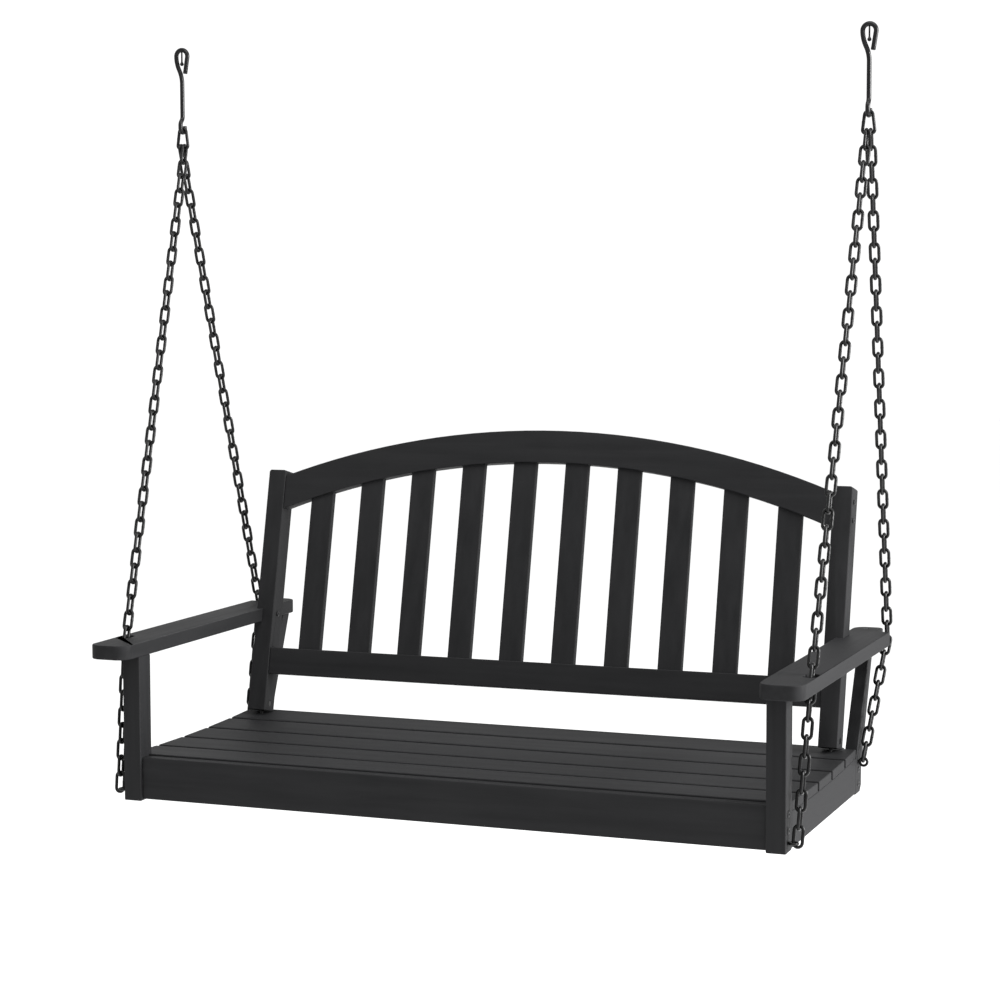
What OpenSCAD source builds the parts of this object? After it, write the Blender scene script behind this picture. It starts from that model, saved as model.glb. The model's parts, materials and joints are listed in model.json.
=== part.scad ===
// Hanging porch swing for two: a slatted bench with an arched back, four link chains and two hooks.
// X runs across the bench, -Y is the front, Z is up, and the feet stand on z = 0.

/* [Seat] */
// Width of the seat over its side aprons
seat_w = 1152; // [1052:10:1252]
// Number of seat slats
slat_count = 5; // [5:5]
// Front to back width of one seat slat
slat_w = 82.6; // [81:0.2:83.6]
// Gap between two seat slats
slat_gap = 9; // [7:0.5:10]
// Thickness of the seat slats
slat_t = 15; // [12:1:16]
// Radius of the shallow dish of the seat
seat_dish_r = 5100; // [4500:100:8000]
// Height of the lowest line of the dish
seat_low_z = 72.8; // [72:0.2:75]

/* [Legs and aprons] */
// Width of a front leg across the bench
leg_w = 32; // [30:1:34]
// Depth of a front leg
leg_d = 38; // [34:1:38]
// Thickness of the side aprons and of the rear arm supports
board_t = 22; // [20:1:24]
// Thickness of the front apron
apron_t = 20; // [18:1:20]
// Height of the top of the front apron
apron_top_z = 74; // [70:1:75]
// Setback of the front apron behind the front face of the legs
apron_setback = 6; // [2:1:8]

/* [Armrests] */
// Height of the underside of the armrests
arm_z = 246.5; // [240:0.5:256]
// Thickness of the armrests
arm_t = 24; // [22:1:26]
// Length of the armrests
arm_l = 655; // [650:1:660]
// Width of the armrests
arm_w = 72; // [70:1:74]
// Overhang of the armrests outside the legs
arm_side = 38; // [37:0.5:39]
// Overhang of the armrests in front of the legs
arm_front = 50; // [45:1:55]

/* [Back] */
// Lean of the back from the vertical, in degrees
back_lean = 13; // [12:0.5:14]
// Length of the back posts
post_l = 448; // [444:1:470]
// Width of the back posts
post_w = 34; // [32:1:34]
// Depth of the back posts
post_d = 40; // [38:1:41]
// Thickness of the two back rails
rail_t = 25; // [22:1:28]
// Inner radius of the arched top rail
arch_r = 1404; // [1400:1:1410]
// Height of the top rail, measured along its radius
arch_h = 58; // [54:1:60]
// Number of back slats
back_slat_count = 10; // [8:1:10]
// Width of a back slat
back_slat_w = 44; // [38:1:48]
// Thickness of a back slat
back_slat_t = 12; // [10:1:14]
// Spacing of the back slats
back_slat_pitch = 99; // [97:0.5:101]

/* [Chains and hooks] */
// Wire of the chain links
link_wire = 5.4; // [5:0.1:5.4]
// Outer width of a chain link
link_w = 19.6; // [19.4:0.1:19.8]
// Outer length of a chain link, which also sets how loosely the links sit in each other
link_l = 38.7; // [38.6:0.1:39]
// Wire of the two hooks
hook_wire = 8; // [7.6:0.1:8]
// Height of the swing axis, inside the lower bend of the hooks
pivot_z = 1149; // [1148:0.5:1150]
// Half the spacing of the two hooks
pivot_x = 622; // [620:1:624]

/* [Hidden] */
$fn = 48;

wood = "#2f3032";
metal = "#1c1c1e";
fit = 0.1;          // radial clearance of a screw or dowel in its hole
touch = 0.05;       // gap between two boards that butt together
over = 1;           // how far a cutter runs past the face that it opens

// Planes of the bench. The armrests are centred on y = 0.
face_x = seat_w / 2;
front_y = arm_front - arm_l / 2;
arm_out_x = face_x + arm_side;
arm_in_x = arm_out_x - arm_w;
arm_mid_z = arm_z + arm_t / 2;
arm_corner_r = 22;
leg_in_x = face_x - leg_w;
board_in_x = face_x - board_t;

// Seat: the dish is a cylinder about an axis above the seat, so slats and aprons share its centre
slat_pitch = slat_w + slat_gap;
seat_front_y = front_y + apron_setback + apron_t + 3;
dish_y = front_y + 222;
dish_z = seat_low_z + seat_dish_r;
slat_lift = 0.2;    // lets a flat slat sit in the dish without cutting into the boards
seat_under_r = seat_dish_r + slat_t + slat_lift;
function slat_y(i) = seat_front_y + slat_w / 2 + (i - 1) * slat_pitch;
function slat_tilt(i) = asin((slat_y(i) - dish_y) / seat_dish_r);
apron_bottom_z = 3;

// Rear arm supports: upright to the knee, then raked back to the armrest
support_y = front_y + 469;
support_d = 42;
knee_z = 52;
heel_chamfer = 10;
support_top_y = front_y + 572;
support_top_d = 26;
rear_apron_y = front_y + 478;
rear_apron_t = 22;
rear_apron_top_z = 61;

// Back: a local frame with its origin at the lower front edge of the posts, whose heels stand on the seat
back_y = front_y + 420;
post_heel_y = back_y + post_d * cos(back_lean);
back_z = seat_low_z + (post_heel_y - dish_y) ^ 2 / (2 * seat_dish_r) + post_d * sin(back_lean) + 0.3;
post_in_x = board_in_x + 1 - post_w;
post_out_x = post_in_x + post_w;
post_corner_r = 5;
rail_low_z = 68;
rail_h = 48.5;
rail_front = 2;     // setback of the rails behind the front face of the posts
arch_centre_z = -928.4;
groove = 10;        // how deep a back slat enters a rail
slat_front = rail_front + (rail_t - back_slat_t) / 2;

// Fasteners
bolt_d = 6;
bolt_head_d = 11;
bolt_head_t = 3.2;
bolt_sink = 2;      // depth of the counterbore under a bolt head
bolt_l = 68;
nut_d = 10;
nut_l = 14;
screw_d = 4.5;
screw_head_d = 9;
screw_head_t = 2.5;
rail_screw_z = [390, 422];
rail_screw_bite = 26;
support_screw_bite = 18;
dowel_d = 8;
dowel_l = 32;
bolt_y = front_y + apron_setback + apron_t / 2;
rear_bolt_y = rear_apron_y + rear_apron_t / 2;
bolt_places = [[bolt_y, 34], [bolt_y, 60], [rear_bolt_y, 16], [rear_bolt_y, 40]];
nut_x = face_x - bolt_sink - bolt_l + nut_d / 2;
bearer_t = 22;
bearer_z = 22;
post_bolt_z = 30;   // underside of the head of a post bolt, in its counterbore
support_x = seat_w / 6;
support_dowel_l = 24;
bearer_dowel_bite = 9.5;
post_bolt_y = front_y + 443;
post_nut_z = 96;
post_bolt_x = (post_in_x + post_out_x) / 2;
bearer_y = post_bolt_y - bearer_t / 2;
cleat_w = 20;
cleat_h = 20;
cleat_screw_x = board_in_x - cleat_w / 2;
support_screw_x = face_x - board_t / 2;
support_screw_y = support_top_y + support_top_d / 2 - 2;
post_screw_y = front_y + 479;
post_screw_tip_x = 588;

// Hooks: the crown is a round bend at the top, and the lower bend holds the top link
crown_r = 11;
crown_z = 127;
crown_drop = 49;
cradle_r = 8;
cradle_rise = 4;
jog_rise = 17;
tip_rise = 4;
tail_lean = 9;
tail_l = 30;
peg_wire = 3;
peg_ball_r = 3.4;
peg_drop = 14;
hook_route = concat(
    [[tip_rise, 0, 0, 1], bend(cradle_r, -180, 0, 16), [cradle_rise, 0, 0, 1]],
    jog(cradle_r, jog_rise, -1, 0),
    [[crown_z - crown_drop - cradle_rise - jog_rise, 0, 0, 1]],
    jog(crown_r, crown_drop, 0, -1),
    [bend(crown_r, 0, 180 + tail_lean, 18), [tail_l, 0, 0, 1]]
);
hang_y = front_y + 322;

// Top link: a pear with a narrow crown and a straight bar at the bottom
pear_wire = 5.5;
pear_play = 0.3;
pear_top_r = hook_wire / 2 + pear_play + pear_wire / 2;
pear_top_z = pivot_z - cradle_r;
pear_bar_z = pear_top_z - 28.5;
pear_corner_r = 5;
pear_corner_x = 5;
pear_corner_z = pear_bar_z + pear_corner_r;
pear_span = norm([pear_corner_x, pear_top_z - pear_corner_z]);
pear_side_l = sqrt(pear_span ^ 2 - (pear_top_r - pear_corner_r) ^ 2);
pear_flare = acos((pear_top_r - pear_corner_r) / pear_span) - acos(pear_corner_x / pear_span);
pear_route = [
    bend(pear_corner_r, 0, 90 + pear_flare, 8),
    [pear_side_l, 0, 0, 1],
    bend(pear_top_r, 0, 180 - 2 * pear_flare, 14),
    [pear_side_l, 0, 0, 1],
    bend(pear_corner_r, 0, 90 + pear_flare, 8),
    [2 * pear_corner_x, 0, 0, 1]
];

// Chains: pitch is the distance that each link adds to a run
link_r = (link_w - link_wire) / 2;
link_straight = link_l - link_w;
link_play = 0.4;
wire_sides = 16;
chain_split = 3.3;  // the front and the rear chain sit this far to either side on the bar
upper_links = 33;
front_stay_links = 9;
rear_stay_links = 8;
slot_x = arm_out_x - 13.5;
slot_y = front_y + 54;
slot_half_w = 10.8;
slot_l = 38;
notch_x = arm_out_x - 8.5;
notch_y = front_y + 574;
notch_half_w = 12.5;
notch_reach = 18;   // how far the cut-away corner starts in front of the chain
notch_corner_r = 12;
eye_wire = 4.5;
eye_r = 6.5;
eye_neck = 0.25;    // gap between a ring and the face that it is screwed into
eye_shank_d = 5;
eye_shank_l = 30;
eye_x = face_x + eye_neck + eye_wire / 2 + eye_r;
eye_tip_x = face_x - eye_shank_l;
front_eye = [eye_x, front_y + 13, 16];
rear_eye = [eye_x, front_y + 488, 54.5];

// ---------- shared shapes ----------

// A bent round wire in the XZ plane, from angle a0 to a1, measured from +X towards +Z
module wire_bend(r, d, a0, a1) {
    rotate([90, 0, 0])
        rotate([0, 0, a0])
            rotate_extrude(angle = a1 - a0)
                translate([r, 0])
                    circle(d = d);
}

// Bent wires with bends in more than one plane. A route is a list of [length, turn about X, turn about Y,
// steps], and a station along it is [point, heading about X, heading about Y]. Heading 0 is straight up.
function heading(a, b) = [cos(a) * sin(b), -sin(a), cos(a) * cos(b)];
function chord(s) = let(half = (abs(s[1]) + abs(s[2])) / s[3] / 2)
    s[0] / s[3] * (half > 0 ? sin(half) / (half * PI / 180) : 1);
function step(at, s) = [
    at[0] + chord(s) * heading(at[1] + s[1] / s[3] / 2, at[2] + s[2] / s[3] / 2),
    at[1] + s[1] / s[3],
    at[2] + s[2] / s[3]
];
function stations(route, at, i = 0, k = 0) =
    i == len(route) ? [at] :
    k == route[i][3] ? stations(route, at, i + 1, 0) :
    concat([at], stations(route, step(at, route[i]), i, k + 1));
function arc_length(r, turn) = r * abs(turn) * PI / 180;
function bend(r, turn_x, turn_y, steps) = [arc_length(r, abs(turn_x) + abs(turn_y)), turn_x, turn_y, steps];
// A smooth sideways step of a wire, made of two equal bends
function jog(shift, rise, way_x, way_y) =
    let(turn = 2 * atan(shift / rise), r = rise / (2 * sin(turn)))
    [bend(r, way_x * turn, way_y * turn, 5), bend(r, -way_x * turn, -way_y * turn, 5)];
function wire_ring(at, d) = [
    for (k = [0 : wire_sides - 1])
        let(u = d / 2 * cos(360 * k / wire_sides), v = d / 2 * sin(360 * k / wire_sides))
            at[0] + [
                u * cos(at[2]) + v * sin(at[1]) * sin(at[2]),
                v * cos(at[1]),
                v * sin(at[1]) * cos(at[2]) - u * sin(at[2])
            ]
];

// A wire along the stations; a closed one meets its own start and has no end faces
module bent_wire(places, d, closed = false) {
    n = len(places);
    rings = closed ? n : n - 1;
    polyhedron(
        points = [for (at = places) each wire_ring(at, d)],
        faces = concat(
            closed ? [] : [
                [for (k = [0 : wire_sides - 1]) k],
                [for (k = [wire_sides - 1 : -1 : 0]) (n - 1) * wire_sides + k]
            ],
            [
                for (i = [0 : rings - 1], k = [0 : wire_sides - 1])
                    let(a = i * wire_sides, b = (i + 1) % n * wire_sides, k2 = (k + 1) % wire_sides)
                        each [[a + k, b + k, b + k2], [a + k, b + k2, a + k2]]
            ]
        )
    );
}

// Mirrors a right-hand piece to the left for side = -1
module on_side(side) {
    mirror([side < 0 ? 1 : 0, 0, 0])
        children();
}

// A board with its outline in the YZ plane, between two X positions
module side_board(x0, x1) {
    translate([x0, 0, 0])
        rotate([90, 0, 90])
            linear_extrude(x1 - x0)
                children();
}

// The space above the seat boards: everything over the underside of the slats
module dish_cut(r) {
    translate([-face_x - over, dish_y, dish_z])
        rotate([0, 90, 0])
            cylinder(h = seat_w + 2 * over, r = r, $fn = 720);
}

// The frame of the leaning back
module in_back() {
    translate([0, back_y, back_z])
        rotate([-back_lean, 0, 0])
            children();
}

// A round rod along X from x0 to x1, which also cuts the holes along X
module x_rod(x0, x1, y, z, d) {
    translate([x0, y, z])
        rotate([0, 90, 0])
            cylinder(h = x1 - x0, d = d);
}

// An upright rectangle on the X axis, centred on x = 0, with rounded upper corners
module round_topped(w, l, r) {
    translate([-w / 2, 0])
        square([w, l - r]);
    translate([-w / 2 + r, 0])
        square([w - 2 * r, l]);
    for (x = [-w / 2 + r, w / 2 - r])
        translate([x, l - r])
            circle(r = r);
}

// A slot with round ends, long along Y
module slot_outline(half_w, l) {
    for (y = [half_w - l / 2, l / 2 - half_w])
        translate([0, y])
            circle(r = half_w);
    translate([-half_w, half_w - l / 2])
        square([2 * half_w, l - 2 * half_w]);
}

// ---------- hooks and top links ----------

module hook(side) {
    color(metal)
        translate([side * pivot_x, hang_y, pivot_z]) {
            bent_wire(stations(hook_route, [[0, cradle_r, tip_rise], 180, 0]), hook_wire);
            // the keeper, a thin peg with a ball end inside the crown
            translate([0, 0, crown_z - peg_drop])
                cylinder(h = peg_drop + crown_r, d = peg_wire);
            translate([0, 0, crown_z - peg_drop])
                sphere(r = peg_ball_r);
        }
}

module top_link(side) {
    loop = stations(pear_route, [[-pear_corner_x, 0, pear_bar_z], 0, -90]);
    color(metal)
        translate([side * pivot_x, hang_y, 0])
            bent_wire([for (i = [0 : len(loop) - 2]) loop[i]], pear_wire, closed = true);
}

// ---------- chains ----------

// One link, long along Z and flat in the XZ plane
module link() {
    for (s = [-1, 1]) {
        translate([s * link_r, 0, -link_straight / 2])
            cylinder(h = link_straight, d = link_wire);
        translate([0, 0, s * link_straight / 2])
            wire_bend(link_r, link_wire, s > 0 ? 0 : 180, s > 0 ? 180 : 360);
    }
}

// Links from p down to q, each turned a quarter against the last; first = 1 turns the top one edge-on
module chain_run(p, q, count, first) {
    up = (p - q) / norm(p - q);
    color(metal)
        for (i = [0 : count - 1])
            translate(p + (q - p) * (i + 0.5) / count)
                rotate([-asin(up.y), atan2(up.x, up.z), 0])
                    rotate([0, 0, (i + first) % 2 * 90])
                        link();
}

bar_grip = (pear_wire + link_play) / 2;
eye_grip = (eye_wire + link_play) / 2;
front_bend = [slot_x, slot_y, arm_mid_z];
rear_bend = [notch_x, notch_y, arm_mid_z];
front_hold = front_eye + [eye_r, 0, 0];
rear_hold = rear_eye + [0, 0, eye_r];
front_turn = front_bend + [0.1, 0.6, -0.3];  // where the lower chains hook in, round the corner
rear_turn = rear_bend + [0.2, -2.7, 0.1];
function chain_top(split) = [pivot_x + split, hang_y, pear_bar_z];
function grip_start(p, q, grip) = p + (p - q) / norm(p - q) * grip;

module upper_chain(side, split, bend) {
    on_side(side)
        chain_run(grip_start(chain_top(split), bend, bar_grip), bend, upper_links, 1);
}

module stay_chain(side, bend, hold, count) {
    on_side(side)
        chain_run(bend, grip_start(hold, bend, eye_grip), count, upper_links + 1);
}

// A screw eye: turn = 0 stands its ring upright, and turn = 90 lays it flat
module screw_eye(at, turn) {
    translate(at)
        rotate([turn, 0, 0])
            wire_bend(eye_r, eye_wire, 0, 360);
    x_rod(eye_tip_x, at.x - eye_r, at.y, at.z, eye_shank_d);
}

module screw_eyes() {
    color(metal)
        for (side = [-1, 1])
            on_side(side) {
                screw_eye(front_eye, 90);
                screw_eye(rear_eye, 0);
            }
}

// ---------- armrests, legs and aprons ----------

module armrest(side) {
    color(wood)
        on_side(side)
            difference() {
                translate([arm_out_x - arm_w / 2, 0, arm_z])
                    linear_extrude(arm_t)
                        for (turn = [0, 180])
                            rotate(turn)
                                round_topped(arm_w, arm_l / 2, arm_corner_r);
                // slot for the front chain, and a cut-away corner for the rear chain
                translate([slot_x, slot_y, arm_z - over])
                    linear_extrude(arm_t + 2 * over)
                        slot_outline(slot_half_w, slot_l);
                translate([notch_x - notch_half_w, notch_y, arm_z - over])
                    linear_extrude(arm_t + 2 * over)
                        notch_outline();
                // rebate for the back post
                in_back()
                    translate([arm_in_x - over, -touch, 0])
                        cube([post_out_x + touch - arm_in_x + over, post_d + 2 * touch, post_l]);
                post_screw_bore();
                translate([support_screw_x, support_screw_y, arm_z - over])
                    cylinder(h = arm_t + 2 * over, d = screw_d + 2 * fit);
                translate([support_screw_x, support_screw_y, arm_z + arm_t - screw_head_t])
                    cylinder(h = screw_head_t + over, d = screw_head_d + 2 * fit);
                leg_dowel(fit);
            }
}

// The cut-away rear corner of an armrest, from its inner side: a round start, then straight to the rear end
module notch_outline() {
    rear = arm_l / 2 - notch_y;
    start = notch_half_w - notch_reach;
    translate([notch_half_w, start])
        circle(r = notch_half_w);
    translate([notch_half_w, -notch_reach])
        square([arm_w, 2 * notch_half_w]);
    translate([0, start])
        square([arm_w, rear + over - start]);
    translate([-notch_corner_r, rear - notch_corner_r])
        difference() {
            square(2 * notch_corner_r);
            circle(r = notch_corner_r);
        }
}

// The bore for the screw from a back post into its armrest
module post_screw_bore() {
    x_rod(post_in_x - over, post_screw_tip_x + fit, post_screw_y, arm_mid_z, screw_d + 2 * fit);
}

// The upright dowel between a front leg and its armrest
module leg_dowel(grow) {
    translate([face_x - leg_w / 2, front_y + leg_d / 2, arm_z - dowel_l / 2 - grow])
        cylinder(h = dowel_l + 2 * grow, d = dowel_d + 2 * grow);
}

// Bores for the bolts of one corner and for its screw eye
module corner_bores(eye) {
    bolt_bores();
    x_rod(eye_tip_x - fit, face_x + over, eye.y, eye.z, eye_shank_d + 2 * fit);
}

module front_leg(side) {
    color(wood)
        on_side(side)
            difference() {
                translate([leg_in_x, front_y, 0])
                    cube([leg_w, leg_d, arm_z - touch]);
                corner_bores(front_eye);
                leg_dowel(fit);
                apron_dowels(front_y + leg_d, fit);
            }
}

module arm_support(side) {
    color(wood)
        on_side(side)
            difference() {
                side_board(board_in_x + touch, face_x)
                    polygon([
                        [support_y, 0],
                        [support_y + support_d - heel_chamfer, 0],
                        [support_y + support_d, heel_chamfer],
                        [support_y + support_d, knee_z - 8],
                        [support_top_y + support_top_d, arm_z - touch],
                        [support_top_y, arm_z - touch],
                        [support_y, knee_z]
                    ]);
                corner_bores(rear_eye);
                translate([support_screw_x, support_screw_y, arm_z - support_screw_bite])
                    cylinder(h = arm_t, d = screw_d + 2 * fit);
                apron_dowels(support_y, fit);
            }
}

module front_apron() {
    color(wood)
        difference() {
            translate([-leg_in_x + touch, front_y + apron_setback, apron_bottom_z])
                cube([2 * (leg_in_x - touch), apron_t, apron_top_z - apron_bottom_z]);
            for (side = [-1, 1])
                on_side(side) {
                    bolt_bores();
                    support_dowel(front_y + apron_setback + apron_t, fit);
                }
        }
}

module rear_apron() {
    color(wood)
        difference() {
            translate([-board_in_x + touch, rear_apron_y, apron_bottom_z])
                cube([2 * (board_in_x - touch), rear_apron_t, rear_apron_top_z - apron_bottom_z]);
            for (side = [-1, 1])
                on_side(side)
                    corner_bores(rear_eye);
        }
}

// The bores and counterbores of the frame bolts, and cross holes for their barrel nuts
module bolt_bores() {
    for (p = bolt_places) {
        x_rod(nut_x - nut_d / 2 - over, face_x + over, p.x, p.y, bolt_d + 2 * fit);
        x_rod(face_x - bolt_sink, face_x + over, p.x, p.y, bolt_head_d + 2 * fit);
        nut_hole_l = nut_l / 2 + apron_t;
        translate([nut_x, p.x < 0 ? p.x - nut_l / 2 : p.x + nut_l / 2 - nut_hole_l, p.y])
            rotate([-90, 0, 0])
                cylinder(h = nut_hole_l, d = nut_d + 2 * fit);
    }
}

module side_apron(side) {
    color(wood)
        on_side(side)
            difference() {
                translate([board_in_x, front_y + leg_d + touch, apron_bottom_z - 1])
                    cube([board_t, support_y - front_y - leg_d - 2 * touch, 80]);
                dish_cut(seat_under_r);
                apron_dowels(front_y + leg_d, fit);
                apron_dowels(support_y, fit);
                bearer_dowels(fit);
            }
}

// Two dowels through a butt joint at y, between a side apron and an upright
module apron_dowels(y, grow) {
    for (z = [22, 42])
        translate([face_x - board_t / 2, y - dowel_l / 2 - grow, z])
            rotate([-90, 0, 0])
                cylinder(h = dowel_l + 2 * grow, d = dowel_d + 2 * grow);
}

// The dowel through a butt joint at y, at either end of a seat support
module support_dowel(y, grow) {
    translate([support_x, y - support_dowel_l / 2 - grow, 40])
        rotate([-90, 0, 0])
            cylinder(h = support_dowel_l + 2 * grow, d = dowel_d + 2 * grow);
}

module back_bearer() {
    color(wood)
        difference() {
            translate([-board_in_x + touch, bearer_y, bearer_z])
                cube([2 * (board_in_x - touch), bearer_t, arm_z]);
            dish_cut(seat_under_r);
            for (side = [-1, 1])
                on_side(side) {
                    translate([post_bolt_x, post_bolt_y, 0]) {
                        cylinder(h = post_nut_z, d = bolt_d + 2 * fit);
                        cylinder(h = post_bolt_z, d = bolt_head_d + 2 * fit);
                    }
                    support_dowel(bearer_y, fit);
                    bearer_dowels(fit);
                }
        }
}

// Two dowels from a side apron into the end of the back bearer, clear of the post bolt
module bearer_dowels(grow) {
    for (z = [32, 50])
        x_rod(
            board_in_x - bearer_dowel_bite - grow,
            board_in_x + dowel_l / 2 + grow,
            post_bolt_y,
            z,
            dowel_d + 2 * grow
        );
}

module seat_support(side) {
    color(wood)
        on_side(side)
            difference() {
                translate([support_x - board_t / 2, front_y + apron_setback + apron_t + touch, bearer_z])
                    cube([board_t, bearer_y - front_y - apron_setback - apron_t - 2 * touch, arm_z]);
                dish_cut(seat_under_r);
                support_dowel(front_y + apron_setback + apron_t, fit);
                support_dowel(bearer_y, fit);
            }
}

module seat_cleat(side) {
    color(wood)
        on_side(side)
            difference() {
                translate([board_in_x - cleat_w, front_y + leg_d + 2, 0])
                    cube([cleat_w - touch, bearer_y - front_y - leg_d - 2 - touch, arm_z]);
                dish_cut(seat_under_r);
                difference() {
                    translate([0, front_y, -over])
                        cube([seat_w, arm_l, arm_z + 2 * over]);
                    dish_cut(seat_under_r + cleat_h);
                }
                for (i = [1 : slat_count - 1])
                    slat_screw(i, fit);
            }
}

// ---------- slats ----------

// The screw that holds slat i from below, through a cleat
module slat_screw(i, grow) {
    y = slat_y(i);
    z = dish_z - sqrt((seat_under_r + cleat_h) ^ 2 - (y - dish_y) ^ 2);
    translate([cleat_screw_x, y, z - touch - grow])
        rotate([180, 0, 0])
            headed(screw_d + 2 * grow, cleat_h + slat_t / 2 + 2 * grow, screw_head_d, screw_head_t);
}

module seat_slat(i) {
    color(wood)
        difference() {
            translate([0, dish_y, dish_z])
                rotate([slat_tilt(i), 0, 0])
                    translate([-face_x, -slat_w / 2, -seat_dish_r - slat_t])
                        cube([seat_w, slat_w, slat_t]);
            for (side = [-1, 1])
                on_side(side) {
                    if (i < slat_count)
                        slat_screw(i, fit);
                    // corner notches round the front leg and the rear arm support
                    translate([leg_in_x - touch, front_y, 0])
                        cube([leg_w + over, leg_d + touch, arm_z]);
                    translate([board_in_x, support_y - touch, 0])
                        cube([board_t + over, support_d, arm_z]);
                    translate([post_bolt_x, post_bolt_y, 0])
                        cylinder(h = post_nut_z, d = bolt_d + 2 * fit);
                }
        }
}

function back_slat_x(i) = (i - (back_slat_count + 1) / 2) * back_slat_pitch;

module back_slat(i, grow) {
    in_back()
        intersection() {
            translate([back_slat_x(i), slat_front - grow, rail_low_z + rail_h - groove])
                translate([-back_slat_w / 2 - grow, 0, 0])
                    cube([back_slat_w + 2 * grow, back_slat_t + 2 * grow, post_l]);
            translate([0, -over, arch_centre_z])
                rotate([-90, 0, 0])
                    cylinder(h = post_d + 2 * over, r = arch_r + groove, $fn = 720);
        }
}

// ---------- back frame ----------

module back_post(side) {
    color(wood)
        on_side(side)
            difference() {
                in_back()
                    translate([post_bolt_x, post_d, 0])
                        rotate([90, 0, 0])
                            linear_extrude(post_d)
                                round_topped(post_w, post_l, post_corner_r);
                post_screw_bore();
                x_rod(post_in_x - over, post_out_x + over, post_bolt_y, post_nut_z, nut_d + 2 * fit);
                translate([post_bolt_x, post_bolt_y, 0])
                    cylinder(h = post_nut_z + nut_d, d = bolt_d + 2 * fit);
                in_back() {
                    rail_screw_holes();
                    rail_dowels(fit);
                }
            }
}

// Two screws from the outer face of a post into the end of the top rail, in the frame of the back
module rail_screw_holes() {
    for (z = rail_screw_z)
        x_rod(
            post_in_x - rail_screw_bite - fit,
            post_out_x + over,
            rail_front + rail_t / 2,
            z,
            screw_d + 2 * fit
        );
}

// Two dowels from a post into the end of the bottom rail, in the frame of the back
module rail_dowels(grow) {
    for (z = [rail_low_z + 14, rail_low_z + rail_h - 14])
        x_rod(
            post_in_x - dowel_l / 2 - grow,
            post_in_x + dowel_l / 2 + grow,
            rail_front + rail_t / 2,
            z,
            dowel_d + 2 * grow
        );
}

module bottom_rail() {
    color(wood)
        difference() {
            in_back()
                difference() {
                    translate([-post_in_x + touch, rail_front, rail_low_z])
                        cube([2 * (post_in_x - touch), rail_t, rail_h]);
                    for (side = [-1, 1])
                        on_side(side)
                            rail_dowels(fit);
                }
            for (i = [1 : back_slat_count])
                back_slat(i, touch);
        }
}

module top_rail() {
    color(wood)
        difference() {
            in_back()
                difference() {
                    intersection() {
                        translate([0, rail_front, arch_centre_z])
                            rotate([-90, 0, 0])
                                cylinder(h = rail_t, r = arch_r + arch_h, $fn = 720);
                        translate([-post_in_x + touch, 0, 0])
                            cube([2 * (post_in_x - touch), post_d, 2 * post_l]);
                    }
                    translate([0, 0, arch_centre_z])
                        rotate([-90, 0, 0])
                            cylinder(h = post_d, r = arch_r, $fn = 720);
                    for (side = [-1, 1])
                        on_side(side)
                            rail_screw_holes();
                }
            for (i = [1 : back_slat_count])
                back_slat(i, touch);
        }
}

// ---------- fasteners ----------

// A bolt or screw along +Z: the head's underside is at z = 0 and the shank goes down
module headed(d, l, head_d, head_t) {
    translate([0, 0, -l])
        cylinder(h = l, d = d);
    cylinder(h = head_t, d = head_d);
}

module frame_bolts() {
    color(metal)
        for (side = [-1, 1])
            on_side(side)
                for (p = bolt_places)
                    translate([face_x - bolt_sink + touch, p.x, p.y])
                        rotate([0, 90, 0])
                            headed(bolt_d, bolt_l, bolt_head_d, bolt_head_t);
}

module barrel_nuts() {
    color(metal)
        for (side = [-1, 1])
            on_side(side) {
                for (p = bolt_places)
                    difference() {
                        translate([nut_x, p.x - nut_l / 2, p.y])
                            rotate([-90, 0, 0])
                                cylinder(h = nut_l, d = nut_d);
                        x_rod(nut_x - nut_d, face_x, p.x, p.y, bolt_d + 2 * fit);
                    }
                difference() {
                    x_rod(post_in_x, post_out_x, post_bolt_y, post_nut_z, nut_d);
                    translate([post_bolt_x, post_bolt_y, 0])
                        cylinder(h = 2 * post_nut_z, d = bolt_d + 2 * fit);
                }
            }
}

module post_bolts() {
    color(metal)
        for (side = [-1, 1])
            on_side(side)
                translate([post_bolt_x, post_bolt_y, post_bolt_z - touch])
                    rotate([180, 0, 0])
                        headed(bolt_d, post_nut_z + nut_d - over - post_bolt_z, bolt_head_d, bolt_head_t);
}

module arm_screws() {
    color(metal)
        for (side = [-1, 1])
            on_side(side) {
                translate([post_in_x - touch, post_screw_y, arm_mid_z])
                    rotate([0, -90, 0])
                        headed(screw_d, post_screw_tip_x - post_in_x, screw_head_d, screw_head_t);
                translate([support_screw_x, support_screw_y, arm_z + arm_t - screw_head_t + touch])
                    headed(screw_d, arm_t + support_screw_bite - screw_head_t, screw_head_d, screw_head_t);
            }
}

module rail_screws() {
    color(metal)
        for (side = [-1, 1])
            on_side(side)
                in_back()
                    for (z = rail_screw_z)
                        translate([post_out_x + touch, rail_front + rail_t / 2, z])
                            rotate([0, 90, 0])
                                headed(screw_d, post_w + rail_screw_bite, screw_head_d, screw_head_t);
}

module slat_screws() {
    color(metal)
        for (side = [-1, 1])
            on_side(side)
                for (i = [1 : slat_count - 1])
                    slat_screw(i, 0);
}

module dowels() {
    color("#c9a26b")
        for (side = [-1, 1])
            on_side(side) {
                apron_dowels(front_y + leg_d, 0);
                apron_dowels(support_y, 0);
                support_dowel(front_y + apron_setback + apron_t, 0);
                support_dowel(bearer_y, 0);
                bearer_dowels(0);
                leg_dowel(0);
                in_back()
                    rail_dowels(0);
            }
}

// ---------- drawing ----------

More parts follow.
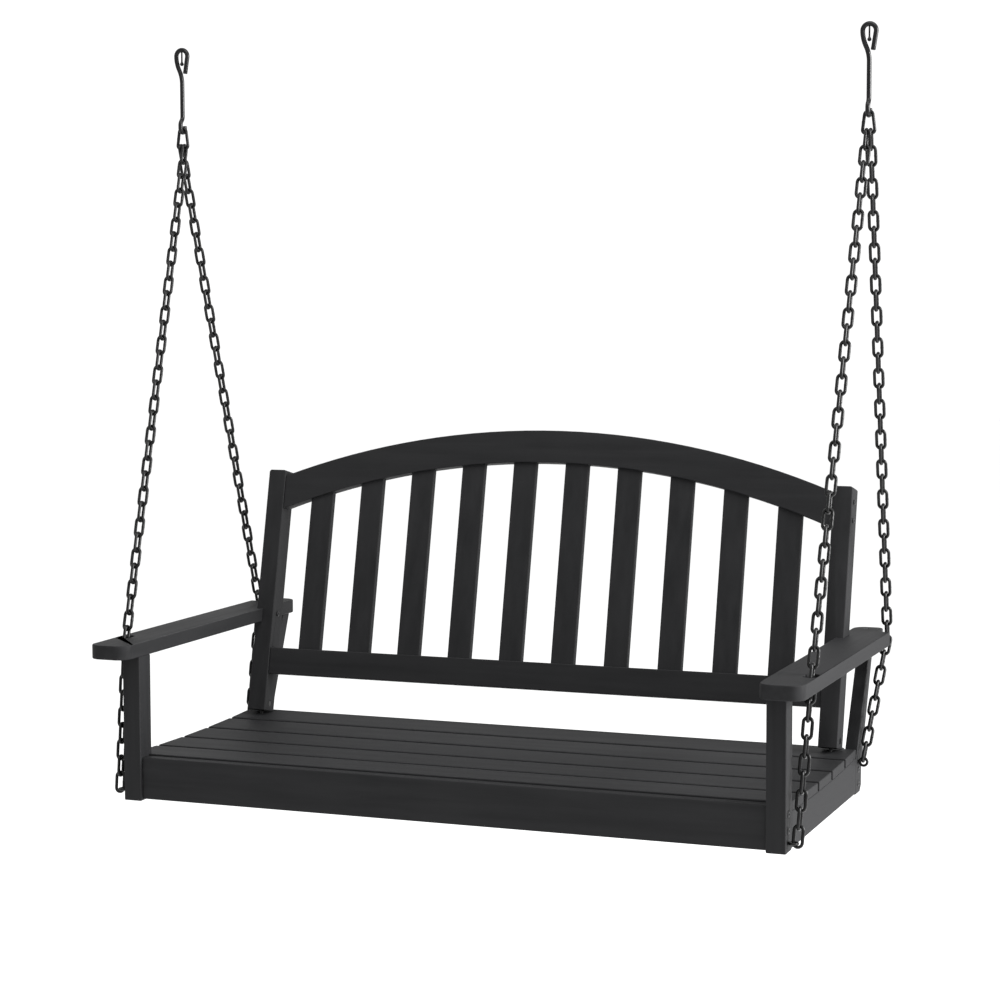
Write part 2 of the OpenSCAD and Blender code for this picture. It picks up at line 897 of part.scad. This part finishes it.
hook(-1);  // hook_left
hook(1);  // hook_right
top_link(-1);  // top_link_left
top_link(1);  // top_link_right
upper_chain(-1, -chain_split, front_bend);  // chain_front_left
upper_chain(-1, chain_split, rear_bend);  // chain_rear_left
upper_chain(1, -chain_split, front_bend);  // chain_front_right
upper_chain(1, chain_split, rear_bend);  // chain_rear_right
stay_chain(-1, front_turn, front_hold, front_stay_links);  // stay_front_left
stay_chain(-1, rear_turn, rear_hold, rear_stay_links);  // stay_rear_left
stay_chain(1, front_turn, front_hold, front_stay_links);  // stay_front_right
stay_chain(1, rear_turn, rear_hold, rear_stay_links);  // stay_rear_right
screw_eyes();
armrest(-1);  // armrest_left
armrest(1);  // armrest_right
front_leg(-1);  // front_leg_left
front_leg(1);  // front_leg_right
arm_support(-1);  // arm_support_left
arm_support(1);  // arm_support_right
back_post(-1);  // back_post_left
back_post(1);  // back_post_right
front_apron();
rear_apron();
side_apron(-1);  // side_apron_left
side_apron(1);  // side_apron_right
back_bearer();
seat_support(-1);  // seat_support_left
seat_support(1);  // seat_support_right
seat_cleat(-1);  // seat_cleat_left
seat_cleat(1);  // seat_cleat_right
for (i = [1 : slat_count])
    seat_slat(i);
for (i = [1 : back_slat_count])
    color(wood) back_slat(i, 0);
top_rail();
bottom_rail();
frame_bolts();
barrel_nuts();
post_bolts();
arm_screws();
rail_screws();
slat_screws();
dowels();
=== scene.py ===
"""Porch swing: the looks, floor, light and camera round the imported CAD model.

Metres, Z up, and -Y is the front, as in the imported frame.
"""

import json
import math

import bmesh
import bpy
from mathutils import Matrix, Vector


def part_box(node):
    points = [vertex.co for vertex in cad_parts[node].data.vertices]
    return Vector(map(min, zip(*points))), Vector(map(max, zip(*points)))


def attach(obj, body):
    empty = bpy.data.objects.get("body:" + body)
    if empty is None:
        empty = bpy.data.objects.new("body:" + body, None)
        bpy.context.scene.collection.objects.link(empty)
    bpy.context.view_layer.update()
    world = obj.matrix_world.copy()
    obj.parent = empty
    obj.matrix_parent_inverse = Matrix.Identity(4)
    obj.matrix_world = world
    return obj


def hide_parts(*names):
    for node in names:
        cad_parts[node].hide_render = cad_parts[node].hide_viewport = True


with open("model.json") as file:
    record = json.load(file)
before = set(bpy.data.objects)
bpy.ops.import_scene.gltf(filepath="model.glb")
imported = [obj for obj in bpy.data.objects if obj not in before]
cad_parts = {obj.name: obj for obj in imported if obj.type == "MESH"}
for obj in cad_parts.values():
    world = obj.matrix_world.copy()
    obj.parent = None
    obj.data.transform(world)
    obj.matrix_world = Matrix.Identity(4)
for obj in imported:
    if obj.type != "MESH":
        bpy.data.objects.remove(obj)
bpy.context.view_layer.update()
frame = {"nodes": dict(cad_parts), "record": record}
scene = bpy.context.scene
nodes = frame["nodes"]
joint_at = {j["name"]: Vector(j["pos_m"]) for j in frame["record"]["behaviour"]["joints"]}

# ---------------------------------------------------------------- camera, light and floor

CAMERA_AT = Vector((1.5275, -3.9404, 0.8923))
CAMERA_AZIMUTH = math.radians(21.065)
CAMERA_DROP = math.radians(4.502)
CAMERA_ROLL = math.radians(-0.154)
CAMERA_LENS = 89.79
CAMERA_SHIFT = (-0.0046, -0.0323)
CAMERA_SENSOR = 36.0
CAMERA_REACH = 200.0
WORLD_COLOUR = (1.0, 1.0, 1.0, 1.0)
WORLD_STRENGTH = 1.1
FLOOR_Z = -1.1
FLOOR_SIZE = 60.0
FLOOR_COLOUR = (0.93, 0.93, 0.93, 1.0)
FLOOR_ROUGHNESS = 0.9
FLOOR_SPECULAR = 0.1
# name, place, aim, size and watts
LIGHTS = (
    ("key", (4.4, 0.3, 1.7), (0.3, 0.0, 0.3), (2.0, 2.0), 640),
    ("top", (0.6, -1.4, 3.6), (0.0, 0.0, 0.4), (3.0, 2.0), 110),
)


def make_camera():
    data = bpy.data.cameras.new("camera")
    data.sensor_width = CAMERA_SENSOR
    data.lens = CAMERA_LENS
    data.shift_x, data.shift_y = CAMERA_SHIFT
    data.clip_end = CAMERA_REACH
    camera = bpy.data.objects.new("camera", data)
    scene.collection.objects.link(camera)
    turn = Matrix.Rotation(CAMERA_AZIMUTH, 4, "Z")
    tip = Matrix.Rotation(math.radians(90) - CAMERA_DROP, 4, "X")
    roll = Matrix.Rotation(CAMERA_ROLL, 4, "Z")
    camera.matrix_world = Matrix.Translation(CAMERA_AT) @ turn @ tip @ roll
    scene.camera = camera


def area_light(name, at, aim, size, watts):
    data = bpy.data.lights.new(name, "AREA")
    data.shape = "RECTANGLE"
    data.size, data.size_y = size
    data.energy = watts
    light = bpy.data.objects.new(name, data)
    light.location = at
    light.rotation_euler = (Vector(aim) - Vector(at)).to_track_quat("-Z", "Y").to_euler()
    scene.collection.objects.link(light)


def make_studio():
    scene.view_settings.view_transform = "Standard"
    world = bpy.data.worlds.new("studio")
    scene.world = world
    world.use_nodes = True
    background = world.node_tree.nodes["Background"]
    background.inputs["Color"].default_value = WORLD_COLOUR
    background.inputs["Strength"].default_value = WORLD_STRENGTH

    mesh = bpy.data.meshes.new("floor")
    half = FLOOR_SIZE / 2
    signs = ((-1, -1), (1, -1), (1, 1), (-1, 1))
    corners = [(x * half, y * half, FLOOR_Z) for x, y in signs]
    mesh.from_pydata(corners, [], [(0, 1, 2, 3)])
    floor = bpy.data.objects.new("floor", mesh)
    scene.collection.objects.link(floor)
    material = bpy.data.materials.new("pale_floor")
    material.use_nodes = True
    shader = material.node_tree.nodes["Principled BSDF"]
    shader.inputs["Base Color"].default_value = FLOOR_COLOUR
    shader.inputs["Roughness"].default_value = FLOOR_ROUGHNESS
    shader.inputs["Specular IOR Level"].default_value = FLOOR_SPECULAR
    mesh.materials.append(material)

    for name, at, aim, size, watts in LIGHTS:
        area_light(name, at, aim, size, watts)


# ---------------------------------------------------------------- materials

EVEN = (1.0, 1.0, 1.0)
# the edge mask set here places the painted highlight along the board edges
EDGE_RADIUS = 0.0016
EDGE_SAMPLES = 4
# the cosine between the rounded and the true normal, where an edge counts in full and not at all
EDGE_FULL = 0.75
EDGE_NONE = 0.995
PAINT_DARK = (0.0088, 0.0089, 0.0094, 1.0)
PAINT_LIGHT = (0.0140, 0.0141, 0.0148, 1.0)
PAINT_CLOUD = (0.0175, 0.0175, 0.018, 1.0)
# colour of the painted highlight along the board edges
PAINT_EDGE_HIGHLIGHT = (0.085, 0.085, 0.087, 1.0)
PAINT_SPECULAR = 0.05
PAINT_PORE_SHARE = 0.35
STEEL_RUBBED = 2.6
STEEL_SPECULAR = 0.16
BEECH_DARK = (0.48, 0.31, 0.17, 1.0)
BEECH_LIGHT = (0.66, 0.47, 0.29, 1.0)


class Look:
    """A node material under construction: helpers that add a node and link its inputs."""

    def __init__(self, name):
        self.material = bpy.data.materials.new(name)
        self.material.use_nodes = True
        self.tree = self.material.node_tree
        self.shader = self.tree.nodes["Principled BSDF"]

    def add(self, kind, settings=None, **inputs):
        node = self.tree.nodes.new(kind)
        for name, value in (settings or {}).items():
            setattr(node, name, value)
        for name, value in inputs.items():
            self.feed(node.inputs[name.replace("_", " ")], value)
        return node

    def feed(self, socket, value):
        if isinstance(value, bpy.types.NodeSocket):
            self.tree.links.new(value, socket)
        else:
            socket.default_value = value

    def place(self, stretch):
        """Row-frame position, in metres, divided by stretch along each axis."""
        spot = self.add("ShaderNodeTexCoord").outputs["Object"]
        shrink = tuple(1.0 / s for s in stretch)
        return self.add("ShaderNodeMapping", Vector=spot, Scale=shrink).outputs["Vector"]

    def noise(self, vector, scale, detail=4.0, roughness=0.55):
        numbers = {"Scale": scale, "Detail": detail, "Roughness": roughness}
        return self.add("ShaderNodeTexNoise", Vector=vector, **numbers).outputs["Fac"]

    def span(self, value, low, high, start=0.3, stop=0.7):
        """Maps value from start..stop to low..high."""
        limits = {"From_Min": start, "From_Max": stop, "To_Min": low, "To_Max": high}
        return self.add("ShaderNodeMapRange", Value=value, **limits).outputs["Result"]

    def sum(self, a, b, kind="ADD"):
        """a and b added, or put together by another kind of sum."""
        node = self.add("ShaderNodeMath", {"operation": kind})
        self.feed(node.inputs[0], a)
        self.feed(node.inputs[1], b)
        return node.outputs["Value"]

    def mix(self, share, a, b):
        node = self.add("ShaderNodeMix", {"data_type": "RGBA"})
        self.feed(node.inputs["Factor"], share)
        self.feed(node.inputs["A"], a)
        self.feed(node.inputs["B"], b)
        return node.outputs["Result"]

    def edges(self, radius):
        """1 on the edges of the shape and 0 on its flats."""
        bevel = self.add("ShaderNodeBevel", {"samples": EDGE_SAMPLES}, Radius=radius)
        soft = bevel.outputs["Normal"]
        flat = self.add("ShaderNodeNewGeometry").outputs["Normal"]
        dot = self.add("ShaderNodeVectorMath", {"operation": "DOT_PRODUCT"})
        self.tree.links.new(soft, dot.inputs[0])
        self.tree.links.new(flat, dot.inputs[1])
        return self.span(dot.outputs["Value"], 1.0, 0.0, EDGE_FULL, EDGE_NONE)

    def bump(self, height, depth, strength):
        node = self.add("ShaderNodeBump", Height=height, Distance=depth, Strength=strength)
        self.tree.links.new(node.outputs["Normal"], self.shader.inputs["Normal"])


def painted_wood(name, stretch):
    """Satin charcoal paint on planed wood, with the grain showing through and a painted highlight
    along the edges.
    """
    look = Look(name)
    along = look.place(stretch)
    grain = look.noise(along, scale=55.0, detail=6.0, roughness=0.6)
    pores = look.noise(along, scale=420.0, detail=3.0, roughness=0.6)
    cloud = look.noise(look.place(EVEN), scale=6.0, detail=3.0)
    # the edge mask: where the painted highlight goes
    edge = look.edges(EDGE_RADIUS)
    tone = look.mix(look.span(grain, 0.0, 1.0), PAINT_DARK, PAINT_LIGHT)
    tone = look.mix(look.span(cloud, 0.0, 0.35), tone, PAINT_CLOUD)
    # painted highlight: the edges are lightened towards the highlight colour, broken up by the
    # pores
    tone = look.mix(look.sum(edge, look.span(pores, 0.2, 0.8), "MULTIPLY"), tone, PAINT_EDGE_HIGHLIGHT)
    look.feed(look.shader.inputs["Base Color"], tone)
    rough = look.sum(look.span(grain, 0.54, 0.64), look.span(cloud, -0.03, 0.05))
    look.feed(look.shader.inputs["Roughness"], rough)
    look.shader.inputs["Specular IOR Level"].default_value = PAINT_SPECULAR
    height = look.sum(grain, look.sum(pores, PAINT_PORE_SHARE, "MULTIPLY"))
    look.bump(height, depth=0.0005, strength=0.22)
    return look.material


def black_steel(name, base, roughness):
    """Semi-gloss black coating on steel, in soft patches that are a little brighter."""
    look = Look(name)
    spot = look.place(EVEN)
    skin = look.noise(spot, scale=380.0, detail=4.0)
    cloud = look.noise(spot, scale=45.0, detail=3.0)
    light = tuple(c * STEEL_RUBBED for c in base) + (1.0,)
    tone = look.mix(look.span(cloud, 0.0, 0.7), tuple(base) + (1.0,), light)
    look.feed(look.shader.inputs["Base Color"], tone)
    look.shader.inputs["Specular IOR Level"].default_value = STEEL_SPECULAR
    rough = look.span(cloud, roughness - 0.05, roughness + 0.1)
    look.feed(look.shader.inputs["Roughness"], rough)
    look.bump(skin, depth=0.0003, strength=0.25)
    return look.material


def beech(name):
    """Bare beech of the dowels, whose grain runs along X."""
    look = Look(name)
    grain = look.noise(look.place((10.0, 1.0, 1.0)), scale=300.0, detail=5.0)
    tone = look.mix(look.span(grain, 0.0, 1.0), BEECH_DARK, BEECH_LIGHT)
    look.feed(look.shader.inputs["Base Color"], tone)
    look.feed(look.shader.inputs["Roughness"], look.span(grain, 0.5, 0.65))
    look.bump(grain, depth=0.0002, strength=0.3)
    return look.material


GRAIN_LENGTH = 18.0
WOOD = {
    "x": painted_wood("painted_wood_across", (GRAIN_LENGTH, 1.0, 1.0)),
    "y": painted_wood("painted_wood_deep", (1.0, GRAIN_LENGTH, 1.0)),
    "z": painted_wood("painted_wood_upright", (1.0, 1.0, GRAIN_LENGTH)),
}
HOOK_STEEL = black_steel("hook_steel", (0.0026, 0.0026, 0.0028), 0.26)
CHAIN_STEEL = black_steel("chain_steel", (0.0022, 0.0022, 0.0023), 0.3)
SCREW_STEEL = black_steel("screw_steel", (0.006, 0.006, 0.0065), 0.36)
BEECH = beech("beech")


# ---------------------------------------------------------------- the CAD nodes

WELD_DISTANCE = 0.00001
FLAT_ANGLE = math.radians(0.3)
ARRIS_ANGLE = math.radians(40)
ARRIS_WIDTH = 0.0018
ARRIS_SEGMENTS = 3

slot_of = {s["node"]: s["material_slot"] for s in frame["record"]["subparts"]}


def dress(node, material):
    obj = nodes[node]
    obj.data.materials.clear()
    obj.data.materials.append(material)


def long_axis(node):
    low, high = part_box(node)
    size = high - low
    return "xyz"[max(range(3), key=lambda k: size[k])]


def round_edges(obj):
    """Welds a board's imported shell, merges its flat faces and rounds its arrises."""
    weld = obj.modifiers.new("weld", "WELD")
    weld.merge_threshold = WELD_DISTANCE
    flats = obj.modifiers.new("flats", "DECIMATE")
    flats.decimate_type = "DISSOLVE"
    flats.angle_limit = FLAT_ANGLE
    bevel = obj.modifiers.new("arris", "BEVEL")
    bevel.width = ARRIS_WIDTH
    bevel.segments = ARRIS_SEGMENTS
    bevel.limit_method = "ANGLE"
    bevel.angle_limit = ARRIS_ANGLE
    bevel.use_clamp_overlap = False
    bevel.miter_outer = "MITER_ARC"
    bevel.harden_normals = True


def dress_nodes():
    for name, slot in slot_of.items():
        if slot == "black_paint":
            dress(name, WOOD[long_axis(name)])
            round_edges(nodes[name])
        elif slot == "beech":
            dress(name, BEECH)
        elif name.startswith("hook"):
            dress(name, HOOK_STEEL)
        elif name.endswith(("screws", "bolts")):
            dress(name, SCREW_STEEL)
        else:
            dress(name, CHAIN_STEEL)


# ---------------------------------------------------------------- wire: hooks and links

MM = 0.001
# from here to WELD_LENGTH in millimetres, apart from the swell, which is a share of the radius
HOOK_WIRE = 8.0
CROWN_R = 11.0
CROWN_Z = 127.0
CROWN_DROP = 49.0
CRADLE_R = 8.0
CRADLE_RISE = 4.0
JOG_RISE = 17.0
TIP_RISE = 4.0
TAIL_LEAN = 9.0
TAIL = 30.0
PEG_WIRE = 3.0
PEG_BALL_R = 3.4
PEG_DROP = 14.0
PEAR_WIRE = 5.5
PEAR_TOP_R = 7.05
PEAR_DROP = 28.5
PEAR_CORNER = 5.0
END_ROUND = 1.6
WELD_SWELL = 0.09
WELD_LENGTH = 1.5

HOOK_SIDES = 24
PEG_SIDES = 20
PEAR_SIDES = 20
LINK_SIDES = 14
JOG_STEPS = 8
END_TURNS = (0, 30, 60, 90)
PEG_BALL_TURNS = range(8, 150, 12)
PEG_RINGS = range(1, 6)
PEG_RING_STEP = 1.5
PEAR_SEAM = 19
ARC_PARTS = 11
PLAIN_LEG_PARTS = 6
SEAM_LEG_PARTS = 14


def shape(name, points, faces, material, smooth=True):
    mesh = bpy.data.meshes.new(name)
    mesh.from_pydata([tuple(p) for p in points], [], faces)
    mesh.validate()
    mesh.polygons.foreach_set("use_smooth", [smooth] * len(mesh.polygons))
    mesh.materials.append(material)
    piece = bpy.data.objects.new(name, mesh)
    scene.collection.objects.link(piece)
    return piece


def band(count, sides, closed=False):
    """Faces between each ring of points and the next, for count rings of sides points."""
    faces = []
    for i in range(count if closed else count - 1):
        a, b = i * sides, (i + 1) % count * sides
        for k in range(sides):
            m = (k + 1) % sides
            faces.append((a + k, a + m, b + m, b + k))
    return faces


def caps(count, sides):
    """The first and the last face of an open stack of rings."""
    first = tuple(range(sides - 1, -1, -1))
    last = tuple((count - 1) * sides + k for k in range(sides))
    return [first, last]


def join(parts):
    """One list of points and one of faces from many."""
    all_points, all_faces = [], []
    for points, faces in parts:
        start = len(all_points)
        all_points += points
        all_faces += [tuple(k + start for k in face) for face in faces]
    return all_points, all_faces


def sweep(points, radii, sides, closed=False):
    """Points and faces of a round wire along points, whose frame is carried along without twist."""
    count = len(points)
    across = None
    rings = []
    for i, p in enumerate(points):
        before = points[i - 1] if closed or i > 0 else p
        after = points[(i + 1) % count] if closed or i < count - 1 else p
        way = (after - before).normalized()
        if across is None:
            across = way.orthogonal()
        across = (across - way * across.dot(way)).normalized()
        side = way.cross(across)
        for k in range(sides):
            turn = 2 * math.pi * k / sides
            rings.append(p + (across * math.cos(turn) + side * math.sin(turn)) * radii[i])
    faces = band(count, sides, closed)
    if not closed:
        faces += caps(count, sides)
    return rings, faces


def bend(radius, turn_x, turn_y, steps):
    """The stretch of a route that turns on a radius."""
    return math.radians(abs(turn_x) + abs(turn_y)) * radius, turn_x, turn_y, steps


def jog(shift, rise, way_x, way_y):
    """Two equal and opposite bends that move a wire sideways by shift over a length of rise."""
    turn = 2 * math.degrees(math.atan(shift / rise))
    radius = rise / (2 * math.sin(math.radians(turn)))
    return [bend(radius, s * way_x * turn, s * way_y * turn, JOG_STEPS) for s in (1, -1)]


def walk(route, at, a, b):
    """Points of a bent wire that starts at a place, turned by a about X and by b about Y.

    A route is a list of (length, turn about X, turn about Y, steps), with the turns in degrees.
    """
    points = [Vector(at)]
    for length, turn_x, turn_y, steps in route:
        half = math.radians(abs(turn_x) + abs(turn_y)) / steps / 2
        chord = length / steps * (math.sin(half) / half if half else 1.0)
        for _ in range(steps):
            u = math.radians(a + turn_x / steps / 2)
            v = math.radians(b + turn_y / steps / 2)
            way = Vector((math.cos(u) * math.sin(v), -math.sin(u), math.cos(u) * math.cos(v)))
            points.append(points[-1] + way * chord)
            a += turn_x / steps
            b += turn_y / steps
    return points


def rounded_ends(points, radius):
    """Points and radii of a wire whose two ends are rounded off inside its length."""
    stations = [(p, radius) for p in points]
    for end in (0, 1):
        tip, inner = (points[0], points[1]) if end == 0 else (points[-1], points[-2])
        back = (inner - tip).normalized()
        arc = []
        for degrees in END_TURNS:
            turn = math.radians(degrees)
            spot = tip + back * END_ROUND * (1 - math.sin(turn))
            arc.append((spot, radius - END_ROUND * (1 - math.cos(turn))))
        if end == 0:
            stations = arc[::-1] + stations[1:]
        else:
            stations = stations[:-1] + arc
    return [p for p, r in stations], [r for p, r in stations]


def welded(points, seam, wire, reach):
    """Radii of a wire that swells at its weld, out to about reach from the seam."""
    swell = [WELD_SWELL * math.exp(-(((p - seam).length / reach) ** 2)) for p in points]
    return [wire / 2 * (1 + s) for s in swell]


def placed(rings, at):
    """Points in millimetres round a joint, as metres in the frame."""
    return [Vector(at) + p * MM for p in rings]


def make_hook(side, joint):
    """A ceiling hook, bent from one wire, and the pin that hangs in its crown."""
    straight = CROWN_Z - CROWN_DROP - CRADLE_RISE - JOG_RISE
    route = [(TIP_RISE, 0, 0, 2), bend(CRADLE_R, -180, 0, 28), (CRADLE_RISE, 0, 0, 1)]
    route += jog(CRADLE_R, JOG_RISE, -1, 0) + [(straight, 0, 0, 6)]
    route += jog(CROWN_R, CROWN_DROP, 0, -1)
    route += [bend(CROWN_R, 0, 180 + TAIL_LEAN, 30), (TAIL, 0, 0, 5)]
    points, radii = rounded_ends(walk(route, (0, CRADLE_R, TIP_RISE), 180, 0), HOOK_WIRE / 2)
    rings, faces = sweep(points, radii, HOOK_SIDES)
    rings = placed(rings, joint_at[joint])
    piece = shape("hook_" + side + "_wire", rings, faces, HOOK_STEEL)
    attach(piece, "hooks")
    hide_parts("hook_" + side)
    low = CROWN_Z - PEG_DROP
    profile = []
    for degrees in PEG_BALL_TURNS:
        turn = math.radians(degrees)
        profile.append((low - PEG_BALL_R * math.cos(turn), PEG_BALL_R * math.sin(turn)))
    profile += [(low + PEG_BALL_R + k * PEG_RING_STEP, PEG_WIRE / 2) for k in PEG_RINGS]
    profile.append((CROWN_Z + CROWN_R, PEG_WIRE / 2))
    points, radii = [Vector((0, 0, z)) for z, r in profile], [r for z, r in profile]
    rings, faces = sweep(points, radii, PEG_SIDES)
    rings = placed(rings, joint_at[joint])
    peg = shape("hook_" + side + "_peg", rings, faces, HOOK_STEEL)
    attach(peg, "hooks")


def make_top_link(side, joint):
    """The pear-shaped link that a hook carries, welded in its first leg."""
    span = math.hypot(PEAR_CORNER, PEAR_DROP - PEAR_CORNER)
    rise = PEAR_TOP_R - PEAR_CORNER
    leg = math.sqrt(span ** 2 - rise ** 2)
    flare = math.degrees(math.acos(rise / span) - math.acos(PEAR_CORNER / span))
    corner = bend(PEAR_CORNER, 0, 90 + flare, 12)
    route = [corner, (leg, 0, 0, 14), bend(PEAR_TOP_R, 0, 180 - 2 * flare, 24)]
    route += [(leg, 0, 0, 4), corner, (2 * PEAR_CORNER, 0, 0, 3)]
    points = walk(route, (-PEAR_CORNER, 0, -CRADLE_R - PEAR_DROP), 0, -90)[:-1]
    radii = welded(points, points[PEAR_SEAM], PEAR_WIRE, WELD_LENGTH)
    rings, faces = sweep(points, radii, PEAR_SIDES, closed=True)
    rings = placed(rings, joint_at[joint])
    piece = shape("top_link_" + side + "_wire", rings, faces, HOOK_STEEL)
    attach(piece, "link_" + side)
    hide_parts("top_link_" + side)


def islands(obj):
    """The separate solids of a CAD node, as lists of points."""
    shell = bmesh.new()
    shell.from_mesh(obj.data)
    bmesh.ops.remove_doubles(shell, verts=shell.verts, dist=WELD_DISTANCE)
    seen = set()
    groups = []
    for start in shell.verts:
        if start in seen:
            continue
        seen.add(start)
        edge, group = [start], []
        while edge:
            v = edge.pop()
            group.append(v.co.copy())
            for e in v.link_edges:
                other = e.other_vert(v)
                if other not in seen:
                    seen.add(other)
                    edge.append(other)
        groups.append(group)
    shell.free()
    return groups


def span_of(points):
    """The lowest and highest corners of a list of points."""
    low = Vector([min(p[k] for p in points) for k in range(3)])
    high = Vector([max(p[k] for p in points) for k in range(3)])
    return low, high


def link_wire(length, width, wire):
    """Centre line and radii of one link, long along Z, with a weld bead on one leg."""
    r = (width - wire) / 2
    half = (length - width) / 2
    turns = [math.pi * k / ARC_PARTS for k in range(ARC_PARTS + 1)]
    points = [Vector((r * math.cos(t), 0, half + r * math.sin(t))) for t in turns]
    for k in range(1, PLAIN_LEG_PARTS):
        points.append(Vector((-r, 0, half * (1 - 2 * k / PLAIN_LEG_PARTS))))
    points += [Vector((-r * math.cos(t), 0, -half - r * math.sin(t))) for t in turns]
    for k in range(1, SEAM_LEG_PARTS):
        points.append(Vector((r, 0, half * (2 * k / SEAM_LEG_PARTS - 1))))
    return points, welded(points, Vector((r, 0, 0)), wire, WELD_LENGTH * MM)


def make_chain(node, body):
    """Every link of a chain node again, smooth and welded, where the CAD link is."""
    links = sorted(islands(nodes[node]), key=lambda g: -sum(p.z for p in g) / len(g))
    middles = [sum(span_of(g), Vector()) / 2 for g in links]
    up = (middles[0] - middles[-1]).normalized()
    across, along = math.atan2(up.x, up.z), -math.asin(up.y)
    lean = Matrix.Rotation(across, 3, "Y") @ Matrix.Rotation(along, 3, "X")
    parts = []
    for group, middle in zip(links, middles):
        local = [lean.transposed() @ (p - middle) for p in group]
        low, high = span_of(local)
        size = high - low
        flat = size.x > size.y
        points, radii = link_wire(size.z, max(size.x, size.y), min(size.x, size.y))
        turn = lean if flat else lean @ Matrix.Rotation(math.radians(90), 3, "Z")
        rings, faces = sweep([turn @ p for p in points], radii, LINK_SIDES, closed=True)
        parts.append(([p + middle for p in rings], faces))
    points, faces = join(parts)
    piece = shape(node + "_links", points, faces, CHAIN_STEEL)
    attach(piece, body)
    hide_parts(node)


# ---------------------------------------------------------------- bolts and screws

RIM = 48
CROSS_ARM = 0.26
NEVER_ZERO = 1e-9
# shares of the head's radius
SOCKET = {"hex": 0.46, "cross": 0.62}
HEAD_FOOT = 0.97
DOME_PULL = 0.34
DOME_CURVE = 2.2
DOME_PARTS = 5
# share of the head's height that is a straight rim, under its dome
HEAD_RIM = 0.12
# shares of the shank's radius
TIP_R = 0.55
TIP_LENGTH = 0.8
# down the recess: share of the socket's size, and height as a share of the head's
RECESS = ((1.0, 1.0), (0.94, 0.94), (0.86, 0.35), (0.2, 0.25))
# shares of the head's radius beyond which a CAD point is on the head, and within which it is not
ON_HEAD = 0.9
OFF_HEAD = 0.8


def outline(kind, size, turn):
    """Radius at an angle of a round, hexagonal or cross-shaped rim."""
    if kind == "round":
        return size
    if kind == "hex":
        corner = math.radians(30)
        return size * math.cos(corner) / math.cos(turn % math.radians(60) - corner)
    c, s = abs(math.cos(turn)) + NEVER_ZERO, abs(math.sin(turn)) + NEVER_ZERO
    arm = size * CROSS_ARM
    return max(min(size / c, arm / s), min(arm / c, size / s))


def fastener(tip, underside, top, shank_r, head_r, recess):
    """A bolt or screw from its tip to its domed head, whose recess is a hexagon or a cross."""
    way = (top - tip).normalized()
    across = way.orthogonal().normalized()
    side = way.cross(across)
    head = (top - underside).length
    long = (underside - tip).length
    socket = head_r * SOCKET[recess]
    stations = [("round", shank_r * TIP_R, 0.0), ("round", shank_r, shank_r * TIP_LENGTH)]
    stations += [("round", shank_r, long), ("round", head_r * HEAD_FOOT, long)]
    stations.append(("round", head_r, long + head * HEAD_RIM))
    for k in range(1, DOME_PARTS + 1):
        share = k / DOME_PARTS
        rim = head_r * (1 - DOME_PULL * share ** DOME_CURVE)
        rise = HEAD_RIM + (1 - HEAD_RIM) * math.sin(share * math.pi / 2)
        stations.append(("round", rim, long + head * rise))
    stations += [(recess, socket * size, long + head * height) for size, height in RECESS]
    points = []
    for kind, size, z in stations:
        for k in range(RIM):
            turn = 2 * math.pi * k / RIM
            r = outline(kind, size, turn)
            points.append(tip + way * z + (across * math.cos(turn) + side * math.sin(turn)) * r)
    return points, caps(len(stations), RIM) + band(len(stations), RIM)


def off_axis(p, middle, axis):
    """How far a point is from the line along an axis through the middle."""
    return math.sqrt(sum((p[k] - middle[k]) ** 2 for k in range(3) if k != axis))


def make_fasteners(node, recess):
    """Every bolt or screw of a node again, with a domed head and a recess, where the CAD one is."""
    parts = []
    for group in islands(nodes[node]):
        low, high = span_of(group)
        size = high - low
        axis = max(range(3), key=lambda k: size[k])
        middle = (low + high) / 2
        reaches = [off_axis(p, middle, axis) for p in group]
        head_r = max(reaches)
        rim = [p[axis] for p, reach in zip(group, reaches) if reach > head_r * ON_HEAD]
        shank_r = max(reach for reach in reaches if reach < head_r * OFF_HEAD)
        at_high = max(rim) > middle[axis]
        tip, underside, top = middle.copy(), middle.copy(), middle.copy()
        tip[axis] = low[axis] if at_high else high[axis]
        underside[axis] = min(rim) if at_high else max(rim)
        top[axis] = high[axis] if at_high else low[axis]
        parts.append(fastener(tip, underside, top, shank_r, head_r, recess))
    points, faces = join(parts)
    piece = shape(node + "_turned", points, faces, SCREW_STEEL, smooth=False)
    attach(piece, "bench")
    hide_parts(node)


def make_details():
    for side, joint in (("left", "swing"), ("right", "swing_right")):
        make_hook(side, joint)
        make_top_link(side, joint)
        for run in ("front", "rear"):
            make_chain("chain_" + run + "_" + side, "chains_" + side)
            make_chain("stay_" + run + "_" + side, "bench")
    make_fasteners("frame_bolts", "hex")
    make_fasteners("post_bolts", "hex")
    for node in ("arm_screws", "rail_screws", "slat_screws"):
        make_fasteners(node, "cross")


make_camera()
make_studio()
dress_nodes()
make_details()
